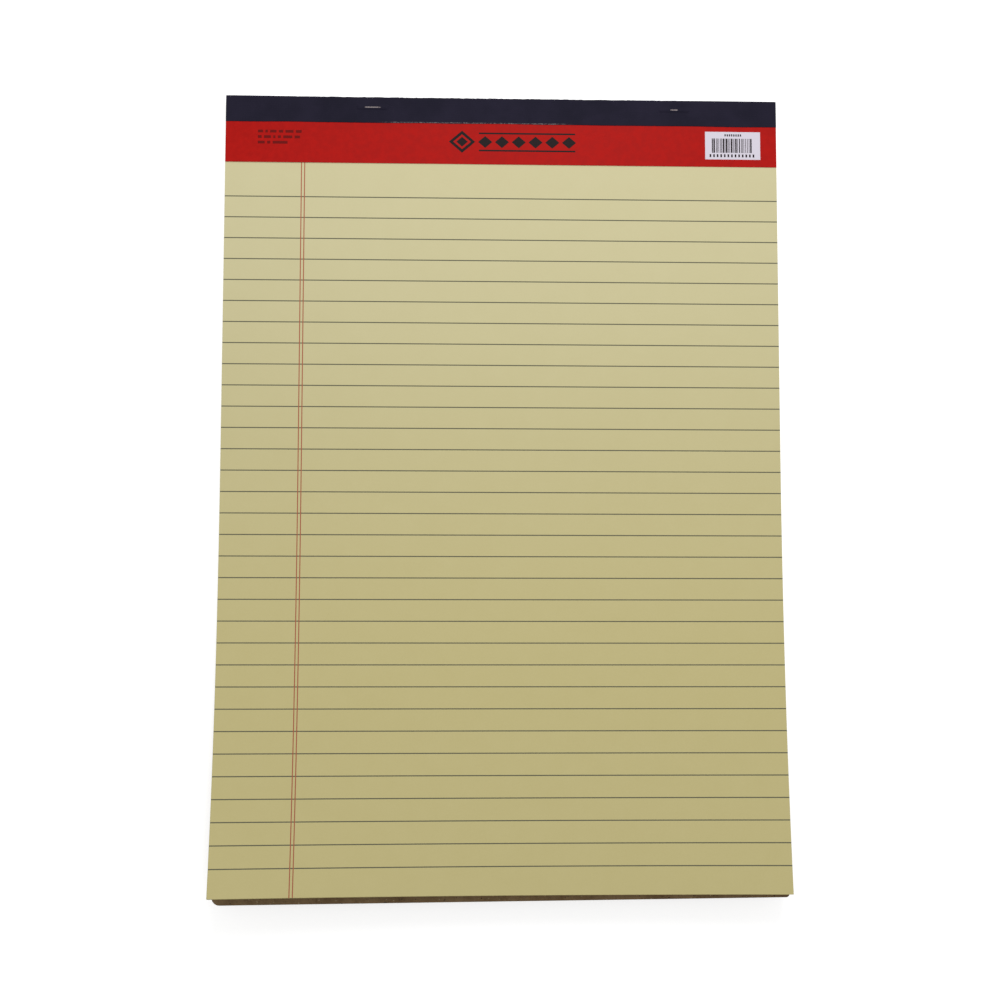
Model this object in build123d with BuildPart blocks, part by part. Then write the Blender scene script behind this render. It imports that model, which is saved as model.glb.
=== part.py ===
"""A4 legal pad: 40 ruled sheets on a chipboard back, with a paper header strip, two wire staples
and one strip of binding tape folded over the head. Lengths in millimetres.

Frame: +X to the right, +Y towards the head, +Z up. The flat stretch of the back lies on Z = 0, and the
origin is at the bottom centre of the pad's box. The foot end has curled up with use: the board a little,
the pages above it a little more, and most at the left corner.
"""

import math
import os

from build123d import *

os.makedirs("parts", exist_ok=True)

# ---- driving dimensions -------------------------------------------------------------------------
SHEET_WIDTH = 210.0
SHEET_LENGTH = 297.0
SHEET_COUNT = 40
SHEET_THICKNESS = 0.078

BOARD_THICKNESS = 0.9
BOARD_PAST_LEFT = 4.2  # how far the board stands out past the pages at the foot, left corner
BOARD_PAST_RIGHT = 2.2
BOARD_BUMPED_CORNER = 3.0  # radius of the knocked left foot corner
BOARD_SHARP_CORNER = 1.2

STRIP_DEPTH = 25.6  # from the head edge down the page
STRIP_THICKNESS = 0.12

TAPE_THICKNESS = 0.2
TAPE_FRONT = 9.9
TAPE_BACK = 14.0

# The curl. Distances are from the head edge down the page.
BOARD_CURL_START = 180.0
BOARD_CURL_LIFT = 8.0  # at the pages' foot edge
PAGE_CURL_START = 134.0
PAGE_CURL_LIFT = 10.0  # of the top page at the middle of its foot edge
SIDE_LIFT = 2.0  # further lift of both foot corners
LEFT_CORNER_LIFT = 4.0  # further lift of the left foot corner alone
CURL_SECTIONS = 6

# Staples: place of each crown's middle, from the left edge and from the head edge.
STAPLES = {"staple_left": (55.6, 4.0), "staple_right": (170.7, 3.7)}
CROWN_LENGTH = 12.0
WIRE_WIDTH = 0.7
WIRE_THICKNESS = 0.5
CROWN_STANDS_OUT = 0.25
CLINCH_LENGTH = 4.2
WIRE_BEND = 0.45
RIDGE_ROUNDING = 0.22

# ---- derived dimensions -------------------------------------------------------------------------
HALF_WIDTH = SHEET_WIDTH / 2
HEAD_Y = (SHEET_LENGTH + BOARD_PAST_LEFT - TAPE_THICKNESS) / 2
FOOT_Y = HEAD_Y - SHEET_LENGTH
PAGES_TOP = BOARD_THICKNESS + SHEET_COUNT * SHEET_THICKNESS
STRIP_TOP = PAGES_TOP + STRIP_THICKNESS
TAPE_TOP = STRIP_TOP + TAPE_THICKNESS
CROWN_TOP = STRIP_TOP + CROWN_STANDS_OUT

BOARD_CURL_RUN = SHEET_LENGTH - BOARD_CURL_START
BOARD_CURL_RADIUS = (BOARD_CURL_RUN**2 + BOARD_CURL_LIFT**2) / (2 * BOARD_CURL_LIFT)
BOARD_ARC_RUN = BOARD_CURL_RUN + 2 * BOARD_PAST_LEFT  # the arc is drawn past the foot, then cut in plan
BOARD_CURL_DEGREES = math.degrees(math.asin(BOARD_ARC_RUN / BOARD_CURL_RADIUS))


# The plane down the pad's middle, with its own x along Y and its own y along Z.
LENGTHWISE = Plane(origin=(0, 0, 0), x_dir=(0, 1, 0), z_dir=(1, 0, 0))


def across(y):
    """The plane Y = y, with its own x along X and its own y along Z."""
    return Plane(origin=(0, y, 0), x_dir=(1, 0, 0), z_dir=(0, -1, 0))


def finish(part, name):
    """Names a finished piece and writes it."""
    part.label = name
    export_step(part, f"parts/{name}.step")


# ---- staples ------------------------------------------------------------------------------------
# Each is one wire: a crown over the header strip, two legs down through the pad, and two ends bent in
# against the underside of the board.
staples = {}
for staple_name, (from_left, from_head) in STAPLES.items():
    crown_x = from_left - HALF_WIDTH
    crown_y = HEAD_Y - from_head
    with BuildPart() as staple:
        with BuildSketch(across(crown_y)) as staple_outline:
            with Locations((crown_x, (CROWN_TOP + TAPE_THICKNESS) / 2)):
                Rectangle(CROWN_LENGTH, CROWN_TOP - TAPE_THICKNESS)
            fillet(staple_outline.vertices(), WIRE_BEND)
            with Locations((crown_x, (CROWN_TOP + TAPE_THICKNESS) / 2)):
                Rectangle(
                    CROWN_LENGTH - 2 * WIRE_THICKNESS,
                    CROWN_TOP - TAPE_THICKNESS - 2 * WIRE_THICKNESS,
                    mode=Mode.SUBTRACT,
                )
            with Locations((crown_x, TAPE_THICKNESS + WIRE_THICKNESS / 2)):
                Rectangle(CROWN_LENGTH - 2 * CLINCH_LENGTH, WIRE_THICKNESS, mode=Mode.SUBTRACT)
        extrude(amount=WIRE_WIDTH / 2, both=True)
    staples[staple_name] = staple.part

# ---- backing board ------------------------------------------------------------------------------
# Flat under the head and the middle, then one long arc up to the foot.
CURL_START_Y = HEAD_Y - BOARD_CURL_START
ARC_CENTRE = (CURL_START_Y, BOARD_CURL_RADIUS)
ARC_FROM = 270 - BOARD_CURL_DEGREES
INNER_RADIUS = BOARD_CURL_RADIUS - BOARD_THICKNESS

with BuildPart() as backing_board:
    with BuildSketch(LENGTHWISE):
        with BuildLine():
            under = CenterArc(ARC_CENTRE, BOARD_CURL_RADIUS, ARC_FROM, BOARD_CURL_DEGREES)
            over = CenterArc(ARC_CENTRE, INNER_RADIUS, ARC_FROM, BOARD_CURL_DEGREES)
            Line(under @ 0, over @ 0)
            Polyline(under @ 1, (HEAD_Y, 0), (HEAD_Y, BOARD_THICKNESS), over @ 1)
        make_face()
    extrude(amount=HALF_WIDTH, both=True)
    # The outline in plan: the foot edge is cut a little out of square, and one corner is knocked round.
    with BuildSketch() as board_outline:
        with BuildLine():
            Polyline(
                (-HALF_WIDTH, HEAD_Y),
                (-HALF_WIDTH, FOOT_Y - BOARD_PAST_LEFT),
                (HALF_WIDTH, FOOT_Y - BOARD_PAST_RIGHT),
                (HALF_WIDTH, HEAD_Y),
                close=True,
            )
        make_face()
        left_corner, right_corner = board_outline.vertices().sort_by(Axis.Y)[:2].sort_by(Axis.X)
        fillet(left_corner, BOARD_BUMPED_CORNER)
        fillet(right_corner, BOARD_SHARP_CORNER)
    extrude(amount=4 * BOARD_CURL_LIFT, mode=Mode.INTERSECT)
    # The tape has pressed the board in by its own thickness, so the back is flush.
    with BuildSketch(LENGTHWISE):
        with Locations((HEAD_Y - TAPE_BACK / 2, TAPE_THICKNESS / 2)):
            Rectangle(TAPE_BACK, TAPE_THICKNESS)
    extrude(amount=HALF_WIDTH, both=True, mode=Mode.SUBTRACT)
    for wire in staples.values():
        add(wire, mode=Mode.SUBTRACT)
finish(backing_board.part, "backing_board")

# ---- ruled sheets -------------------------------------------------------------------------------
# Tight at the head, loose and curled at the foot, where air stands between the pages.
PAGE_CURL_RUN = SHEET_LENGTH - PAGE_CURL_START


def page_heights(along):
    """Height of the top page at its left edge, middle and right edge. along runs from 0, where the
    curl starts, to 1 at the foot edge."""
    middle = PAGES_TOP + PAGE_CURL_LIFT * along**2 + LEFT_CORNER_LIFT / 4 * along**3
    left = PAGES_TOP + PAGE_CURL_LIFT * along**2 + (SIDE_LIFT + LEFT_CORNER_LIFT) * along**3
    right = PAGES_TOP + PAGE_CURL_LIFT * along**2 + SIDE_LIFT * along**3
    return left, middle, right


with BuildPart() as ruled_sheets:
    for step in range(CURL_SECTIONS):
        along = step / (CURL_SECTIONS - 1)
        left, middle, right = page_heights(along)
        control = 2 * middle - (left + right) / 2  # so that the curve passes through middle
        with BuildSketch(across(HEAD_Y - PAGE_CURL_START - along * PAGE_CURL_RUN)):
            with BuildLine():
                Bezier((-HALF_WIDTH, left), (0, control), (HALF_WIDTH, right))
                Polyline((HALF_WIDTH, right), (HALF_WIDTH, 0), (-HALF_WIDTH, 0), (-HALF_WIDTH, left))
            make_face()
    loft()
    with BuildSketch(LENGTHWISE):
        with Locations((HEAD_Y - PAGE_CURL_START / 2, PAGES_TOP / 2)):
            Rectangle(PAGE_CURL_START, PAGES_TOP)
    extrude(amount=HALF_WIDTH, both=True)
    # Everything up to the board's upper face is taken away, so the pages lie on the board.
    with BuildSketch(LENGTHWISE):
        with BuildLine():
            seat = CenterArc(ARC_CENTRE, INNER_RADIUS, ARC_FROM, BOARD_CURL_DEGREES)
            Polyline(
                seat @ 1,
                (HEAD_Y + 1, BOARD_THICKNESS),
                (HEAD_Y + 1, -1),
                ((seat @ 0).X, -1),
                seat @ 0,
            )
        make_face()
    extrude(amount=HALF_WIDTH + 1, both=True, mode=Mode.SUBTRACT)
    for wire in staples.values():
        add(wire, mode=Mode.SUBTRACT)
finish(ruled_sheets.part, "ruled_sheets")

# ---- header strip -------------------------------------------------------------------------------
with BuildPart() as header_strip:
    with BuildSketch(Plane.XY.offset(PAGES_TOP)):
        with Locations((0, HEAD_Y - STRIP_DEPTH / 2)):
            Rectangle(SHEET_WIDTH, STRIP_DEPTH)
    extrude(amount=STRIP_THICKNESS)
    for wire in staples.values():
        add(wire, mode=Mode.SUBTRACT)
finish(header_strip.part, "header_strip")

# ---- binding tape -------------------------------------------------------------------------------
# Front flap, spine and back flap in one fold, with a low ridge where it passes over each crown.
with BuildPart() as binding_tape:
    with BuildSketch(LENGTHWISE) as tape_section:
        with BuildLine():
            Polyline(
                (HEAD_Y - TAPE_BACK, 0),
                (HEAD_Y + TAPE_THICKNESS, 0),
                (HEAD_Y + TAPE_THICKNESS, TAPE_TOP),
                (HEAD_Y - TAPE_FRONT, TAPE_TOP),
                (HEAD_Y - TAPE_FRONT, STRIP_TOP),
                (HEAD_Y, STRIP_TOP),
                (HEAD_Y, TAPE_THICKNESS),
                (HEAD_Y - TAPE_BACK, TAPE_THICKNESS),
                close=True,
            )
        make_face()
        fillet(tape_section.vertices().group_by(Axis.X)[-1], TAPE_THICKNESS)
    extrude(amount=HALF_WIDTH, both=True)
    for from_left, from_head in STAPLES.values():
        with BuildSketch(Plane.XY.offset(TAPE_TOP)):
            with Locations((from_left - HALF_WIDTH, HEAD_Y - from_head)):
                SlotOverall(CROWN_LENGTH + 4 * TAPE_THICKNESS, WIRE_WIDTH + 4 * TAPE_THICKNESS)
        extrude(amount=CROWN_STANDS_OUT)
    fillet(binding_tape.faces().sort_by(Axis.Z)[-2:].edges(), RIDGE_ROUNDING)
    for wire in staples.values():
        add(wire, mode=Mode.SUBTRACT)
finish(binding_tape.part, "binding_tape")

for staple_name, wire in staples.items():
    finish(wire, staple_name)
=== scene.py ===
# %% [markdown]
# # A stapled A4 legal pad
#
# A legal pad is forty loose sheets on a card back, stapled at the head, with a strip of binding tape
# folded over the staples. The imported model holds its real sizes. This script gives each piece its look:
# the sheets one by one, the print on them, the cloth of the tape and the grain of the card.

# %% Load the fixed frame
import math
import random

import bpy
from mathutils import Matrix, Vector, noise


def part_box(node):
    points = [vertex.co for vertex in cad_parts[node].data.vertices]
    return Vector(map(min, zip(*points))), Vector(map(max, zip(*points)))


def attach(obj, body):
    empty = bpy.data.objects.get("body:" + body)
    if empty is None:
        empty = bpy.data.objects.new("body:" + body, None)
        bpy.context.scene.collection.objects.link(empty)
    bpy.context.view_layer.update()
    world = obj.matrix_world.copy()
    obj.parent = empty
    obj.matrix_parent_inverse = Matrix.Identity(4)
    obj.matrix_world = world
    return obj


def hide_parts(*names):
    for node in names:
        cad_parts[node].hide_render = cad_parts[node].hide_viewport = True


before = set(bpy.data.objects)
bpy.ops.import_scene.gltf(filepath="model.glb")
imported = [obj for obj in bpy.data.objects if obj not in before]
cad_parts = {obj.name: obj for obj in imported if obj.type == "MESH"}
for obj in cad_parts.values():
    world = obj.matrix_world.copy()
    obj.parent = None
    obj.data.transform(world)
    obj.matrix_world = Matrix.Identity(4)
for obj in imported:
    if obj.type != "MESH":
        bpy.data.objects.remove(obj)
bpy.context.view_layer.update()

MM = 0.001
print("CAD nodes:", sorted(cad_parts))

# %% [markdown]
# ## Where everything lies
#
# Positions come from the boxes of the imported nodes, so this script never has to guess where the head of
# the pad is. A place on a page is given by x, and by how far down the page it is from the head edge.

# %% Sizes read from the frame
pages_low, pages_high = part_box("ruled_sheets")
board_low, board_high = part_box("backing_board")
strip_low, strip_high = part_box("header_strip")
tape_low, tape_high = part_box("binding_tape")

HEAD = pages_high.y
HALF_WIDTH = pages_high.x
PAGE_LENGTH = HEAD - pages_low.y
PAGES_BOTTOM = pages_low.z
PAGES_TOP = strip_low.z
SHEETS = 40
SHEET = (PAGES_TOP - PAGES_BOTTOM) / SHEETS
print(f"page {2 * HALF_WIDTH / MM:.1f} x {PAGE_LENGTH / MM:.1f} mm, one sheet {SHEET / MM:.3f} mm thick")

# %% [markdown]
# ## The curl
#
# A pad that has been carried about curls up at its foot. The card bends along one long arc. The pages
# bend more, most of all at the left corner, so air comes between them. Both curves are written as the
# height above the table for a place on the page, and every piece that lies on them asks the same function.

# %% Heights of the card and of the top page
CARD_CURL_START = 180 * MM
CARD_CURL_LIFT = 8 * MM
CARD_THICKNESS = PAGES_BOTTOM
PAGE_CURL_START = 134 * MM
PAGE_CURL_LIFT = 10 * MM
SIDE_LIFT = 2 * MM
LEFT_CORNER_LIFT = 4 * MM

card_run = PAGE_LENGTH - CARD_CURL_START
CARD_RADIUS = (card_run**2 + CARD_CURL_LIFT**2) / (2 * CARD_CURL_LIFT)


def card_height(down, above=0.0):
    """Height of the card's underside, or of a face that lies above it by a little."""
    run = max(0.0, down - CARD_CURL_START)
    return CARD_RADIUS - math.sqrt((CARD_RADIUS - above) ** 2 - run**2)


def page_height(x, down):
    """Height of the upper face of the top page."""
    along = max(0.0, (down - PAGE_CURL_START) / (PAGE_LENGTH - PAGE_CURL_START))
    side = x / HALF_WIDTH
    corner = LEFT_CORNER_LIFT * ((1 - side) / 2) ** 2 + SIDE_LIFT * side**2
    return PAGES_TOP + PAGE_CURL_LIFT * along**2 + corner * along**3


print("top page at the foot corners:",
      [round(page_height(x, PAGE_LENGTH) / MM, 1) for x in (-HALF_WIDTH, 0, HALF_WIDTH)], "mm up")

# %% [markdown]
# ## Making a thin sheet
#
# Paper, card and strip are all thin slabs: a grid of points for the upper face, the same grid for the
# lower one, and a rim that joins them. The grid lines are chosen where print has to be sharp,
# because a printed rule that is a row of faces of its own stays crisp from any distance.

# %% A slab from two heights over a grid
def slab(name, columns, rows, place, upper, lower, kind=lambda face, x, down: 0):
    """A closed thin mesh. place(x, down) gives the plan position, upper and lower the two heights,
    and kind(face, x, down) the material of a face, which is "upper", "lower" or "rim"."""
    points, faces, kinds = [], [], []
    wide, long = len(columns), len(rows)
    for height in (upper, lower):
        for down in rows:
            for x in columns:
                px, py = place(x, down)
                points.append((px, py, height(x, down)))

    def at(level, row, column):
        return (level * long + row) * wide + column

    for row in range(long - 1):
        for column in range(wide - 1):
            x = (columns[column] + columns[column + 1]) / 2
            down = (rows[row] + rows[row + 1]) / 2
            corners = [(row, column), (row + 1, column), (row + 1, column + 1), (row, column + 1)]
            faces.append([at(0, *c) for c in corners])
            kinds.append(kind("upper", x, down))
            faces.append([at(1, *c) for c in reversed(corners)])
            kinds.append(kind("lower", x, down))
    rim = [(0, c) for c in range(wide)] + [(r, wide - 1) for r in range(1, long)]
    rim += [(long - 1, c) for c in range(wide - 2, -1, -1)] + [(r, 0) for r in range(long - 2, 0, -1)]
    for here, there in zip(rim, rim[1:] + rim[:1]):
        faces.append([at(0, *here), at(0, *there), at(1, *there), at(1, *here)])
        x = (columns[here[1]] + columns[there[1]]) / 2
        down = (rows[here[0]] + rows[there[0]]) / 2
        kinds.append(kind("rim", x, down))
    return points, faces, kinds


def make_object(name, points, faces, kinds, finishes, smooth=False):
    """A Blender object from plain lists, with one material slot for each finish."""
    mesh = bpy.data.meshes.new(name)
    mesh.from_pydata(points, [], faces)
    for finish in finishes:
        mesh.materials.append(finish)
    mesh.polygons.foreach_set("material_index", kinds)
    mesh.polygons.foreach_set("use_smooth", [smooth] * len(faces))
    mesh.update()
    made = bpy.data.objects.new(name, mesh)
    bpy.context.scene.collection.objects.link(made)
    print(f"{name}: {len(faces)} faces")
    return made


def spread(start, stop, step):
    """Evenly spaced values from start to stop, both included, about step apart."""
    count = max(1, round(abs(stop - start) / step))
    return [start + (stop - start) * i / count for i in range(count + 1)]


def merged(*lists, nearest=0.02 * MM):
    """Sorted values with near duplicates dropped."""
    kept = []
    for value in sorted(v for values in lists for v in values):
        if not kept or value - kept[-1] > nearest:
            kept.append(value)
    return kept


# %% [markdown]
# ## Shader sums
#
# A finish is easier to read as a sum than as a web of nodes. `Value` wraps one socket, and each operator
# on it adds the Math node that does the sum. `Finish` is a material, with one method that adds any node.

# %% The shader helpers
class Value:
    """One output socket that can be added, multiplied and compared."""

    def __init__(self, finish, socket):
        self.finish = finish
        self.socket = socket

    def sum(self, operation, other, swapped=False):
        pair = (other, self) if swapped else (self, other)
        return self.finish.node("ShaderNodeMath", {"operation": operation}, {0: pair[0], 1: pair[1]})

    def __add__(self, other): return self.sum("ADD", other)
    def __radd__(self, other): return self.sum("ADD", other)
    def __sub__(self, other): return self.sum("SUBTRACT", other)
    def __rsub__(self, other): return self.sum("SUBTRACT", other, True)
    def __mul__(self, other): return self.sum("MULTIPLY", other)
    def __rmul__(self, other): return self.sum("MULTIPLY", other)
    def __truediv__(self, other): return self.sum("DIVIDE", other)
    def __abs__(self): return self.sum("ABSOLUTE", 0.0)

    def rise(self, low, high):
        """0 below low, 1 above high, and a smooth step between. It falls if low is above high."""
        return self.finish.node(
            "ShaderNodeMapRange",
            {"interpolation_type": "SMOOTHSTEP", "clamp": True},
            {"Value": self, "From Min": low, "From Max": high},
        )


class Finish:
    """A procedural material around one Principled shader."""

    def __init__(self, name, **sockets):
        self.material = bpy.data.materials.new(name)
        self.material.use_nodes = True
        self.tree = self.material.node_tree
        self.shader = self.tree.nodes["Principled BSDF"]
        for socket, value in sockets.items():
            self.put(socket.replace("_", " "), value)

    def put(self, socket, value):
        """Sets a socket of the shader, or links it."""
        target = self.shader.inputs[socket]
        if isinstance(value, Value):
            self.tree.links.new(value.socket, target)
        else:
            target.default_value = value

    def node(self, kind, settings=None, sockets=None, output=0):
        made = self.tree.nodes.new(kind)
        for name, value in (settings or {}).items():
            setattr(made, name, value)
        for key, value in (sockets or {}).items():
            if isinstance(value, Value):
                self.tree.links.new(value.socket, made.inputs[key])
            else:
                made.inputs[key].default_value = value
        return Value(self, made.outputs[output])

    def place(self):
        """The point on the object, in metres."""
        return self.node("ShaderNodeTexCoord", output="Object")

    def stretched(self, x, y, z):
        """The point on the object with each axis scaled, for grain that runs one way."""
        return self.node("ShaderNodeMapping", None, {"Vector": self.place(), "Scale": (x, y, z)})

    def axes(self):
        """The point on the object as three values."""
        split = self.tree.nodes.new("ShaderNodeSeparateXYZ")
        self.tree.links.new(self.place().socket, split.inputs[0])
        return [Value(self, output) for output in split.outputs]

    def cloud(self, size, detail=4.0, roughness=0.5, at=None):
        """Noise whose lumps are about size metres across, from 0 to 1 about 0.5."""
        return self.node(
            "ShaderNodeTexNoise", None,
            {"Vector": at or self.place(), "Scale": 1 / size, "Detail": detail, "Roughness": roughness},
        )

    def blend(self, share, first, second):
        """A colour between two others."""
        return self.node(
            "ShaderNodeMix", {"data_type": "RGBA"}, {0: share, 6: first, 7: second}, output=2
        )

    def bump(self, height, distance, strength=1.0, normal=None):
        sockets = {"Height": height, "Distance": distance, "Strength": strength}
        if normal is not None:
            sockets["Normal"] = normal
        return self.node("ShaderNodeBump", None, sockets)


def colour(red, green, blue):
    """A colour as a paint chart gives it, 0 to 255, turned into the shader's linear values."""
    def linear(value):
        share = value / 255
        return share / 12.92 if share <= 0.04045 else ((share + 0.055) / 1.055) ** 2.4
    return (linear(red), linear(green), linear(blue), 1.0)


# %% [markdown]
# ## Yellow writing paper
#
# Uncoated paper has no shine. What makes it paper is a faint cloudiness, where the fibres lie thicker or
# thinner, and a very fine tooth. Its colour is also painted darker and more yellow towards the loose foot:
# painted shade, for the dimmer light there. All of that is a few per cent of colour, so it is easy to overdo.

# %% The finish of a page
def writing_paper(name):
    paper = Finish(name, Roughness=0.9, Specular_IOR_Level=0.25)
    # Painted shade: the page colour runs from the head tone to a darker, more yellow tone towards the foot.
    head_tone, shaded_foot_tone = colour(216, 208, 163), colour(212, 200, 140)
    x, y, z = paper.axes()
    down = HEAD - y
    painted_foot_shade = down.rise(0.02, 0.24)
    ground = paper.blend(painted_foot_shade, head_tone, shaded_foot_tone)
    clouds = paper.cloud(9 * MM, 5.0, 0.6)
    fibres = paper.cloud(0.5 * MM, 3.0, 0.6)
    tone = (clouds - 0.5) * 0.10 + (fibres - 0.5) * 0.10 + 0.5
    lighter = paper.blend(0.06, ground, colour(255, 252, 235))
    darker = paper.blend(0.07, ground, colour(120, 104, 60))
    paper.put("Base Color", paper.blend(tone.rise(0.36, 0.64), darker, lighter))
    paper.put("Roughness", 0.86 + clouds * 0.08)
    tooth = paper.bump(fibres, 0.03 * MM, 0.5)
    paper.put("Normal", paper.bump(clouds, 0.25 * MM, 0.25, tooth))
    return paper


page_finish = writing_paper("page_paper").material

# %% [markdown]
# The cut edge of a stack is not flat colour either: the knife leaves each sheet a hair lighter or darker,
# and the rules, which run off both sides of the page, leave a grey tick on every sheet.

# %% The finish of the cut edges
RULES = 32
RULE_PITCH = 8.006 * MM
LAST_RULE = 10.0 * MM
rule_places = [PAGE_LENGTH - LAST_RULE - RULE_PITCH * (RULES - 1 - i) for i in range(RULES)]


def cut_edges(name):
    paper = Finish(name, Roughness=0.95, Specular_IOR_Level=0.2)
    x, y, z = paper.axes()
    down = HEAD - y
    from_rule = paper.node(
        "ShaderNodeMath", {"operation": "PINGPONG"}, {0: down - rule_places[0], 1: RULE_PITCH / 2}
    )
    tick = from_rule.rise(0.28 * MM, 0.12 * MM) * down.rise(rule_places[0] - MM, rule_places[0] - 0.5 * MM)
    grain = paper.cloud(0.25 * MM, 2.0, 0.6, at=paper.stretched(0.05, 0.05, 1.0))
    ground = paper.blend(grain.rise(0.3, 0.7), colour(190, 180, 128), colour(226, 219, 180))
    paper.put("Base Color", paper.blend(tick * 0.45, ground, colour(92, 92, 80)))
    paper.put("Normal", paper.bump(grain, 0.05 * MM, 0.6))
    return paper


edge_finish = cut_edges("page_edges").material
print("rules from", round(rule_places[0] / MM, 1), "to", round(rule_places[-1] / MM, 1), "mm down the page")

# %% [markdown]
# ## Printing inks
#
# Rules and type are flat fields of ink. Their colour stays one value on the shader, so that they export
# sharp, and only their gloss varies, as ink sinks into the paper unevenly.

# %% The inks
def printing_ink(name, shade, gloss=0.6):
    ink = Finish(name, Base_Color=shade, Specular_IOR_Level=0.08)
    ink.put("Roughness", gloss + (ink.cloud(0.6 * MM, 3.0) - 0.5) * 0.2)
    return ink.material


rule_ink = printing_ink("rule_ink", colour(104, 104, 86), 0.8)
margin_ink = printing_ink("margin_ink", colour(178, 104, 78), 0.8)

# %% [markdown]
# ## The top page
#
# Each rule and each margin line is a row or a column of faces of its own. Where they cross, the red
# margin was printed over the rules.

# %% The top page with its rules
RULE_WIDTH = 0.40 * MM
MARGIN_WIDTH = 0.38 * MM
margins = [-HALF_WIDTH + 28.8 * MM, -HALF_WIDTH + 30.0 * MM]
paper_kind, edge_kind, rule_kind, margin_kind = range(4)


def both_sides(places, width):
    return [p + side * width / 2 for p in places for side in (-1, 1)]


columns = merged(spread(-HALF_WIDTH, HALF_WIDTH, 8 * MM), nearest=MM)
columns = [c for c in columns if min(abs(c - m) for m in margins) > 0.6 * MM]
columns = merged(columns, both_sides(margins, MARGIN_WIDTH))
rows = merged(
    [0.0, 8 * MM, 16 * MM, 24 * MM, PAGE_LENGTH],
    both_sides(rule_places, RULE_WIDTH),
    [p + RULE_PITCH / 2 for p in rule_places[:-1]],
)


def page_kind(face, x, down):
    if face != "upper":
        return edge_kind if face == "rim" else paper_kind
    if min(abs(x - m) for m in margins) < MARGIN_WIDTH / 2:
        return margin_kind
    if min(abs(down - r) for r in rule_places) < RULE_WIDTH / 2:
        return rule_kind
    return paper_kind


def plan(x, down):
    return x, HEAD - down


top_page = make_object(
    "top_page",
    *slab("top_page", columns, rows, plan, page_height, lambda x, d: page_height(x, d) - SHEET, page_kind),
    [page_finish, edge_finish, rule_ink, margin_ink],
)
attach(top_page, "root")
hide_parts("ruled_sheets")

# %% [markdown]
# ## The thirty-nine pages below
#
# From the side, a pad is its sheets. Each one is made, thin as it is, so that the foot shows real edges
# fanning apart. The air between the card and the top page is shared out unevenly, as it is between real
# sheets, and each sheet is knocked a fraction of a millimetre out of line.

# %% The pages below
dice = random.Random(40)
gaps = [dice.uniform(0.3, 1.0) + (1.6 if dice.random() < 0.12 else 0.0) for _ in range(SHEETS)]
opened = [sum(gaps[: i + 1]) / sum(gaps) for i in range(SHEETS)]


def sheet_height(index, x, down):
    """Height of the upper face of one sheet, counted from the card up."""
    floor_height = card_height(down, CARD_THICKNESS)
    air = page_height(x, down) - floor_height - SHEETS * SHEET
    return floor_height + (index + 1) * SHEET + max(0.0, air) * opened[index]


columns = spread(-HALF_WIDTH, HALF_WIDTH, 21 * MM)
rows = spread(0, PAGE_CURL_START, 33 * MM) + spread(PAGE_CURL_START, PAGE_LENGTH, 12 * MM)[1:]
points, faces, kinds = [], [], []
for index in range(SHEETS - 1):
    depth = 1 - index / (SHEETS - 1)
    slip = dice.uniform(-0.12, 0.12) * MM
    past = (dice.uniform(-0.15, 0.15) + 0.9 * depth) * MM

    def racked(x, down, slip=slip, past=past):
        loose = down / PAGE_LENGTH
        skew = 1 - 0.4 * x / HALF_WIDTH
        return x + slip * loose, HEAD - down - past * skew * loose**3

    more = slab(
        "sheet", columns, rows, racked,
        lambda x, d, i=index: sheet_height(i, x, d),
        lambda x, d, i=index: sheet_height(i, x, d) - SHEET,
        lambda face, x, d: 1 if face == "rim" else 0,
    )
    start = len(points)
    points += more[0]
    faces += [[start + corner for corner in face] for face in more[1]]
    kinds += more[2]
pages_below = make_object("pages_below", points, faces, kinds, [page_finish, edge_finish])
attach(pages_below, "root")
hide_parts("ruled_sheets")

# %% [markdown]
# ## The card back
#
# Chipboard is pressed from waste paper: grey-brown, dull, with flecks of darker and lighter fibre. The
# knife leaves its edge a little rougher. It stands out past the pages at the foot, more on the left,
# where its corner has been knocked round.

# %% The finish of the card
def chipboard(name, edge=False):
    card = Finish(name, Roughness=0.95, Specular_IOR_Level=0.15)
    pulp = card.cloud(6 * MM, 6.0, 0.65)
    fibre = card.cloud(0.7 * MM, 4.0, 0.7, at=card.stretched(1.0, 0.45, 1.0))
    specks = card.cloud(0.9 * MM, 1.0, 0.4)
    ground = card.blend(pulp.rise(0.3, 0.7), colour(128, 104, 76), colour(150, 126, 96))
    ground = card.blend(fibre.rise(0.5, 0.75) * 0.5, ground, colour(104, 82, 58))
    ground = card.blend(specks.rise(0.70, 0.74), ground, colour(74, 60, 48))
    card.put("Base Color", card.blend(specks.rise(0.29, 0.25) * 0.7, ground, colour(196, 180, 152)))
    rough = card.bump(fibre, (0.25 if edge else 0.08) * MM, 0.7)
    card.put("Normal", card.bump(pulp, 0.3 * MM, 0.3, rough))
    return card.material


card_face, card_edge = chipboard("card_face"), chipboard("card_edge", edge=True)

# %% The card back itself
PAST_LEFT = pages_low.y - board_low.y + 0.03 * MM
PAST_RIGHT = PAST_LEFT - 2.0 * MM
KNOCKED = 3.0 * MM
SHARP = 1.2 * MM


def card_foot(x):
    """How far past the pages' foot the card reaches at x."""
    share = (x + HALF_WIDTH) / (2 * HALF_WIDTH)
    reach = PAST_LEFT + (PAST_RIGHT - PAST_LEFT) * share
    for edge, radius in ((-HALF_WIDTH, KNOCKED), (HALF_WIDTH, SHARP)):
        inside = radius - abs(x - edge)
        if inside > 0:
            reach -= radius - math.sqrt(radius**2 - inside**2)
    return reach


CARD_LENGTH = PAGE_LENGTH + PAST_LEFT
LAST_STRETCH = PAGE_LENGTH - 6 * MM


def card_plan(x, down):
    share = max(0.0, (down - LAST_STRETCH) / (CARD_LENGTH - LAST_STRETCH))
    return x, HEAD - down + share * (PAST_LEFT - card_foot(x))


def card_down(x, down):
    return HEAD - card_plan(x, down)[1]


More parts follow.
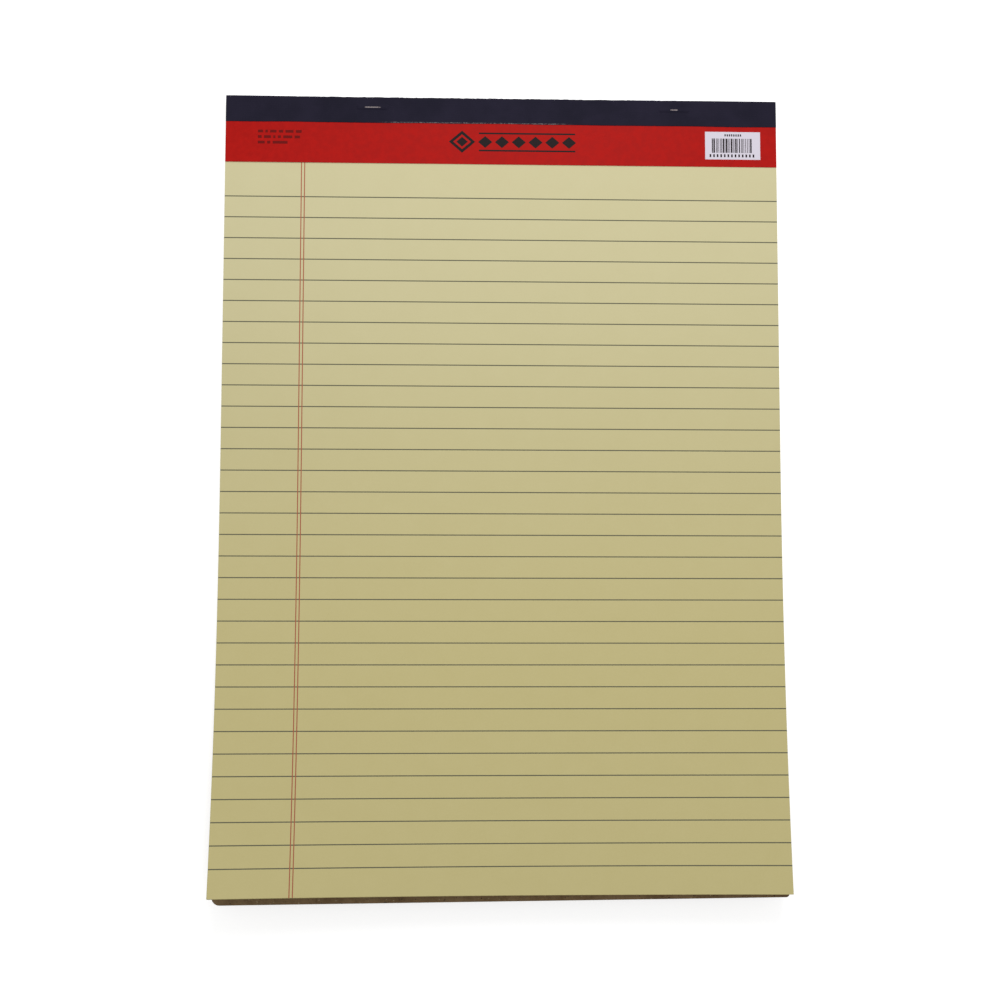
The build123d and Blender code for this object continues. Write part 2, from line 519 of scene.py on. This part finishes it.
corner_columns = [
    edge - math.copysign(radius * (1 - math.cos(angle)), edge)
    for edge, radius in ((-HALF_WIDTH, KNOCKED), (HALF_WIDTH, SHARP))
    for angle in spread(0, math.pi / 2, math.pi / 16)
]
columns = merged(spread(-HALF_WIDTH, HALF_WIDTH, 7 * MM), corner_columns)
rows = merged(
    [0.0, 14 * MM],
    spread(14 * MM, CARD_CURL_START, 30 * MM),
    spread(CARD_CURL_START, LAST_STRETCH, 5 * MM),
    spread(LAST_STRETCH, CARD_LENGTH, 2 * MM),
)


def card_under(x, down):
    recess = tape_thickness if down < 14 * MM else 0.0
    return card_height(card_down(x, down)) + recess


tape_thickness = tape_high.y - HEAD
backing = make_object(
    "card_back",
    *slab(
        "card_back", columns, rows, card_plan,
        lambda x, d: card_height(card_down(x, d), CARD_THICKNESS), card_under,
        lambda face, x, d: 1 if face == "rim" else 0,
    ),
    [card_face, card_edge],
)
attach(backing, "root")
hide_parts("backing_board")

# %% [markdown]
# ## The header strip
#
# A strip of thin coated paper, printed solid red, lies over the head of the top page. It is glued only
# under the tape, so its free edge stands off the page by a hair and draws a fine line of shadow.

# %% The red strip
def coated_red(name):
    strip = Finish(name, Specular_IOR_Level=0.06)
    mottle = strip.cloud(2.5 * MM, 5.0, 0.6)
    grit = strip.cloud(0.3 * MM, 2.0)
    ground = strip.blend(mottle.rise(0.3, 0.7), colour(172, 17, 12), colour(182, 20, 14))
    strip.put("Base Color", strip.blend(grit.rise(0.62, 0.8) * 0.25, ground, colour(212, 58, 44)))
    strip.put("Roughness", 0.48 + (mottle - 0.5) * 0.15)
    strip.put("Normal", strip.bump(mottle, 0.06 * MM, 0.3))
    return strip.material


red_finish = coated_red("red_strip")
raw_edge = printing_ink("strip_cut_edge", colour(214, 150, 140), 0.9)
STRIP_DEPTH = HEAD - strip_low.y
STRIP = strip_high.z - strip_low.z


def strip_lift(x, down):
    free = max(0.0, (down - 13 * MM) / (STRIP_DEPTH - 13 * MM))
    wander = 0.6 + 0.8 * noise.noise(Vector((x * 18, 3.1, 0)))
    return 0.16 * MM * max(0.2, wander) * free**2


columns = spread(-HALF_WIDTH, HALF_WIDTH, 5 * MM)
rows = merged([0.0, 6 * MM, 11 * MM], spread(13 * MM, STRIP_DEPTH, 1.6 * MM))
strip = make_object(
    "header_strip_printed",
    *slab(
        "strip", columns, rows, plan,
        lambda x, d: PAGES_TOP + STRIP + strip_lift(x, d),
        lambda x, d: PAGES_TOP + strip_lift(x, d) + 0.005 * MM,
        lambda face, x, d: 1 if face == "rim" else 0,
    ),
    [red_finish, raw_edge],
    smooth=False,
)
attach(strip, "root")
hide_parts("header_strip")

# %% [markdown]
# ## What is printed on the strip
#
# The strip carries a white field of bars, a dark ornament and three rows of small marks. None of them
# says anything here: the bars are plain stripes, the ornament is a lozenge between rules, and the marks
# are dashes. Each is a film of ink with an outline of its own.

# %% Ink shapes laid on the strip
INK_FILM = 0.012 * MM


class Print:
    """Collects flat shapes that lie on the strip, in one mesh."""

    def __init__(self):
        self.points, self.faces, self.kinds = [], [], []

    def shape(self, outline, kind, layer=0):
        """A thin plate with this outline, in metres from the left edge and down from the head."""
        start, count = len(self.points), len(outline)
        for level in (1, 0):
            for across, down in outline:
                x = across - HALF_WIDTH
                z = PAGES_TOP + STRIP + strip_lift(x, down) + INK_FILM * (0.4 + layer + level)
                self.points.append((x, HEAD - down, z))
        turn = sum(a[0] * b[1] - b[0] * a[1] for a, b in zip(outline, outline[1:] + outline[:1]))
        ring = list(range(count)) if turn < 0 else list(range(count - 1, -1, -1))
        self.faces.append([start + i for i in ring])
        self.faces.append([start + count + i for i in reversed(ring)])
        for here, there in zip(ring, ring[1:] + ring[:1]):
            self.faces.append([start + there, start + here, start + count + here, start + count + there])
        self.kinds += [kind] * (count + 2)

    def bar(self, left, top, width, depth, kind, layer=0):
        right, bottom = left + width, top + depth
        self.shape([(left, top), (right, top), (right, bottom), (left, bottom)], kind, layer)


printed = Print()
white, black, dark_red = range(3)

# The white field, its bars and the two rows of small ticks above and below them.
FIELD_LEFT, FIELD_TOP, FIELD_WIDTH, FIELD_DEPTH = 182.6 * MM, 11.9 * MM, 21.2 * MM, 10.8 * MM
printed.bar(FIELD_LEFT, FIELD_TOP, FIELD_WIDTH, FIELD_DEPTH, white)
bars = random.Random(7)
across = FIELD_LEFT + 2.6 * MM
while across < FIELD_LEFT + FIELD_WIDTH - 3.0 * MM:
    width = bars.choice((0.22, 0.22, 0.4, 0.58)) * MM
    printed.bar(across, FIELD_TOP + 2.6 * MM, width, 5.6 * MM, black, 1)
    across += width + bars.choice((0.2, 0.3, 0.45)) * MM
for tick in range(13):
    left = FIELD_LEFT + (1.7 + tick * 1.38) * MM
    printed.bar(left, FIELD_TOP + 8.75 * MM, 0.62 * MM, 1.15 * MM, black, 1)
for tick in range(8):
    printed.bar(FIELD_LEFT + (7.5 + tick * 0.84) * MM, FIELD_TOP + 0.9 * MM, 0.5 * MM, 0.85 * MM, black, 1)

# Three rows of dashes, as long as small words.
words = ((1.9, 0.9, 2.4, 1.6, 3.0, 2.2), (1.4, 2.6, 0.8, 1.2, 3.4, 2.0), (2.6, 1.2, 5.6))
for row, lengths in enumerate(words):
    across = 12.2 * MM
    for length in lengths:
        printed.bar(across, (13.1 + 2.15 * row) * MM, length * MM, 1.05 * MM, dark_red)
        across += (length + 0.9) * MM

# The ornament: a ringed lozenge, then a rule that is broken by smaller lozenges.
middle_down = 16.9 * MM


def lozenge(across, down, wide, deep):
    return [(across - wide, down), (across, down - deep), (across + wide, down), (across, down + deep)]


printed.shape(lozenge(89.6 * MM, middle_down, 5.0 * MM, 4.3 * MM), black)
printed.shape(lozenge(89.6 * MM, middle_down, 3.4 * MM, 2.9 * MM), white + 3, 1)
printed.shape(lozenge(89.6 * MM, middle_down, 2.2 * MM, 1.9 * MM), black, 2)
for step in range(6):
    printed.shape(lozenge((98.4 + 6.4 * step) * MM, middle_down, 2.7 * MM, 2.3 * MM), black)
for side in (-1, 1):
    printed.bar(96.0 * MM, middle_down + side * 3.35 * MM - 0.3 * MM, 36.8 * MM, 0.6 * MM, black)

header_print = make_object(
    "header_print", printed.points, printed.faces, printed.kinds,
    [
        printing_ink("white_field", colour(222, 216, 228), 0.5),
        printing_ink("black_ink", colour(30, 20, 22), 0.45),
        printing_ink("dark_red_ink", colour(112, 12, 10), 0.5),
        printing_ink("red_ground", colour(176, 18, 13), 0.5),
    ],
)
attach(header_print, "root")

# %% [markdown]
# ## The binding tape
#
# Binding tape is cloth or crêpe paper, dyed and glued. It is swept here as one folded section: front
# flap, spine, back flap. The staples push it up in two low ridges, its front edge is not dead straight,
# and along the head, where the pad is carried and torn from, the fold is rubbed and frayed.

# %% The finish of the tape
FRONT_FLAP = 9.9 * MM
BACK_FLAP = 14.0 * MM
crowns = []
for node in ("staple_left", "staple_right"):
    low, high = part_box(node)
    crowns.append(((low + high) / 2, high.x - low.x))
    print(node, "crown at", [round(v / MM, 1) for v in (low + high) / 2])


def binding_cloth(name):
    cloth = Finish(name, Specular_IOR_Level=0.08)
    x, y, z = cloth.axes()
    down = HEAD - y
    weave = cloth.node("ShaderNodeTexWave", {"bands_direction": "X"},
                       {"Vector": cloth.place(), "Scale": 0.35 / MM, "Distortion": 1.5, "Detail": 2.0})
    weft = cloth.node("ShaderNodeTexWave", {"bands_direction": "Y"},
                      {"Vector": cloth.place(), "Scale": 0.35 / MM, "Distortion": 1.5, "Detail": 2.0})
    threads = (weave + weft) * 0.5
    lint = cloth.cloud(0.35 * MM, 5.0, 0.7)
    patches = cloth.cloud(14 * MM, 4.0, 0.6)
    ground = cloth.blend(patches.rise(0.3, 0.7), colour(29, 27, 42), colour(37, 34, 50))
    ground = cloth.blend(lint.rise(0.6, 0.8) * 0.35, ground, colour(86, 84, 104))

    worn = None
    for (centre, length), reach in zip(crowns, (3.4, 1.6)):
        near = abs(y - centre.y).rise(0.30 * MM, 0.10 * MM)
        within = abs(x - centre.x).rise(reach * MM, reach * 0.7 * MM)
        mark = near * within
        worn = mark if worn is None else worn + mark
    rubbed = abs(down - (FRONT_FLAP - 0.2 * MM)).rise(0.35 * MM, 0.12 * MM)
    rubbed = rubbed * abs(x + 10 * MM).rise(42 * MM, 28 * MM) * lint.rise(0.42, 0.6)
    worn = worn * lint.rise(0.35, 0.5) + rubbed * 0.6
    corner = down.rise(0.5 * MM, -0.1 * MM) * z.rise(3.6 * MM, 4.3 * MM)
    worn = worn + corner * abs(x).rise(85 * MM, 60 * MM) * lint.rise(0.5, 0.66) * 0.5
    cloth.put("Base Color", cloth.blend(worn.rise(0.05, 0.9), ground, colour(150, 140, 140)))
    cloth.put("Roughness", 0.72 + (patches - 0.5) * 0.2)
    fine = cloth.bump(threads, 0.05 * MM, 0.5)
    cloth.put("Normal", cloth.bump(lint, 0.12 * MM, 0.5, fine))
    return cloth.material


tape_finish = binding_cloth("binding_cloth")

# %% The folded tape
TAPE = tape_thickness
TAPE_TOP = PAGES_TOP + STRIP + TAPE
FOLD = 0.35 * MM


def tape_section():
    """The closed outline of the tape, as (out, down, height): out tells the outer face from the inner."""
    outer = [(1, FRONT_FLAP, PAGES_TOP + STRIP + 0.05 * MM)]
    outer += [(1, d, TAPE_TOP) for d in merged(
        spread(0.8 * MM, 2.6 * MM, 0.5 * MM), spread(2.6 * MM, 5.2 * MM, 0.2 * MM),
        spread(5.2 * MM, FRONT_FLAP - 0.08 * MM, 0.8 * MM), nearest=0.05 * MM)[::-1]]
    for angle in spread(90, 0, 22.5):
        turn = math.radians(angle)
        outer.append((1, -TAPE + FOLD - FOLD * math.cos(turn), TAPE_TOP - FOLD + FOLD * math.sin(turn)))
    outer += [(1, -TAPE, h) for h in spread(TAPE_TOP - FOLD, FOLD, 0.6 * MM)[1:-1]]
    for angle in spread(0, -90, 22.5):
        turn = math.radians(angle)
        outer.append((1, -TAPE + FOLD - FOLD * math.cos(turn), FOLD + FOLD * math.sin(turn)))
    outer += [(1, d, 0.0) for d in spread(2 * MM, BACK_FLAP, 2 * MM)]
    inner = [(0, BACK_FLAP, TAPE), (0, 0.0, TAPE), (0, 0.0, TAPE_TOP - TAPE), (0, FRONT_FLAP, TAPE_TOP - TAPE)]
    return outer + inner


def ridge(x, y):
    """How far the tape is pushed up by the staple crown under it."""
    lift = 0.0
    for centre, length in crowns:
        past_end = max(0.0, abs(x - centre.x) - length / 2 + 0.6 * MM)
        past_side = max(0.0, abs(y - centre.y) - 0.30 * MM)
        fade = max(0.0, 1 - math.hypot(past_end, past_side) / (0.8 * MM))
        lift = max(lift, 0.28 * MM * fade * fade * (3 - 2 * fade))
    return lift


def frayed(x):
    """How rough the head fold is at x: most in the middle of the pad."""
    return max(0.0, 1 - (abs(x + 8 * MM) / (88 * MM)) ** 4)


section = tape_section()
near_crowns = [
    centre.x + side * (length / 2 + extra * MM)
    for centre, length in crowns for side in (-1, 1) for extra in (-1.2, -0.9, -0.6, -0.3, 0.0, 0.3)
]
columns = merged(spread(-HALF_WIDTH, HALF_WIDTH, 0.9 * MM), near_crowns, nearest=0.12 * MM)
points, faces = [], []
for x in columns:
    end = min(1.0, (HALF_WIDTH - abs(x)) / (0.6 * MM))
    for out, down, height in section:
        y, z = HEAD - down, height
        if out and height > TAPE_TOP - 0.2 * MM and down > 0:
            z += ridge(x, y)
        if down > FRONT_FLAP - 0.5 * MM and height > PAGES_TOP:
            y += 0.16 * MM * noise.noise(Vector((x * 60, 1.7, 0))) + 0.05 * MM * noise.noise(Vector((x * 900, 5, 0)))
        if down > BACK_FLAP - 0.5 * MM and height < CARD_THICKNESS:
            y += 0.16 * MM * noise.noise(Vector((x * 60, 9.2, 0)))
        if out and down < 0.4 * MM:
            rough = frayed(x) * (0.16 * noise.noise(Vector((x * 1300, z * 900, 2))) + 0.10 * noise.noise(Vector((x * 240, z * 300, 8))))
            y += rough * MM - 0.10 * MM * frayed(x)
            z += frayed(x) * 0.08 * MM * noise.noise(Vector((x * 1100, z * 700, 4))) if z > TAPE_TOP / 2 else 0.0
            z -= (1 - end) * 0.12 * MM if z > TAPE_TOP / 2 else 0.0
        points.append((x, y, z))
count = len(section)
for column in range(len(columns) - 1):
    for i in range(count):
        j = (i + 1) % count
        here, there = column * count, (column + 1) * count
        faces.append([here + i, here + j, there + j, there + i])
faces.append(list(range(count - 1, -1, -1)))
faces.append([(len(columns) - 1) * count + i for i in range(count)])
tape = make_object("binding_tape_folded", points, faces, [0] * len(faces), [tape_finish], smooth=True)
for face in tape.data.polygons[-2:]:
    face.use_smooth = False
tape.data.set_sharp_from_angle(angle=math.radians(50))
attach(tape, "root")
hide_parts("binding_tape")

# %% [markdown]
# ## The staples
#
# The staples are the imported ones, hidden under the tape. Galvanised wire is dull and slightly streaked.

# %% The finish of the staples
def wire(name):
    steel = Finish(name, Base_Color=colour(170, 170, 172), Metallic=1.0)
    streak = steel.cloud(0.4 * MM, 3.0, 0.6, at=steel.stretched(0.1, 1.0, 1.0))
    steel.put("Roughness", 0.35 + streak * 0.25)
    steel.put("Base Color", steel.blend(streak.rise(0.3, 0.7), colour(150, 150, 152), colour(186, 186, 188)))
    return steel.material


wire_finish = wire("staple_wire")
for name in ("staple_left", "staple_right"):
    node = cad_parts[name]
    for material_slot in node.material_slots:
        material_slot.material = wire_finish

# %% [markdown]
# ## Floor, light and camera
#
# The pad lies on a plain pale floor under one big soft lamp near its head and an even sky. To the camera
# the floor is white, but it keeps the pad's shadow. The lamp's nearness makes the head of the page a
# little brighter than its foot.

# %% The floor
def white_floor(name):
    ground = Finish(name, Roughness=0.9, Specular_IOR_Level=0.0)
    seen = ground.node("ShaderNodeLightPath", output="Is Camera Ray")
    mirrored = ground.node("ShaderNodeLightPath", output="Is Glossy Ray")
    through = ground.node("ShaderNodeLightPath", output="Is Transmission Ray")
    shown = (seen + mirrored + through).rise(0.0, 1.0)
    ground.put("Base Color", (0.8, 0.8, 0.8, 1))
    ground.put("Emission Strength", 1.0)
    ground.put("Emission Color", ground.blend(shown, (0, 0, 0, 1), (0.62, 0.62, 0.62, 1)))
    return ground.material


floor_mesh = bpy.data.meshes.new("floor")
FLOOR = 4.0
floor_mesh.from_pydata(
    [(-FLOOR, -FLOOR, -0.0002), (FLOOR, -FLOOR, -0.0002), (FLOOR, FLOOR, -0.0002), (-FLOOR, FLOOR, -0.0002)],
    [], [[0, 1, 2, 3]],
)
floor_mesh.materials.append(white_floor("floor_white"))
floor = bpy.data.objects.new("floor", floor_mesh)
bpy.context.scene.collection.objects.link(floor)

# %% The light
world = bpy.data.worlds.new("studio")
bpy.context.scene.world = world
world.use_nodes = True
sky = world.node_tree.nodes["Background"]
sky.inputs["Color"].default_value = (1, 1, 1, 1)
paths = world.node_tree.nodes.new("ShaderNodeLightPath")
level = world.node_tree.nodes.new("ShaderNodeMix")
SKY_LIGHT = 0.50
level.inputs[2].default_value = SKY_LIGHT
level.inputs[3].default_value = 1.0
world.node_tree.links.new(paths.outputs["Is Camera Ray"], level.inputs[0])
world.node_tree.links.new(level.outputs[0], sky.inputs["Strength"])


def soft_lamp(name, place, aim, size, watts):
    data = bpy.data.lights.new(name, "AREA")
    data.shape, data.size, data.energy = "DISK", size, watts
    lamp = bpy.data.objects.new(name, data)
    lamp.location = place
    lamp.rotation_euler = (Vector(aim) - Vector(place)).to_track_quat("-Z", "Y").to_euler()
    bpy.context.scene.collection.objects.link(lamp)
    return lamp


soft_lamp("head_lamp", (0.05, 0.42, 0.50), (0.0, 0.12, 0.0), 0.35, 1.9)

# %% The camera
EYE = Vector((-19.1, -47.7, 562.9)) * MM
AIM = Vector((-0.8, -3.2, 4.0)) * MM
PAGE_UP = Vector((-0.0037, 1.0, 0.08))
camera_data = bpy.data.cameras.new("camera")
camera_data.lens = 54.0
camera_data.sensor_width = 36.0
camera = bpy.data.objects.new("camera", camera_data)
forward = (AIM - EYE).normalized()
right = forward.cross(PAGE_UP).normalized()
up = right.cross(forward)
camera.matrix_world = Matrix.Translation(EYE) @ Matrix((right, up, -forward)).transposed().to_4x4()
bpy.context.scene.collection.objects.link(camera)
bpy.context.scene.camera = camera
bpy.context.scene.view_settings.view_transform = "Standard"
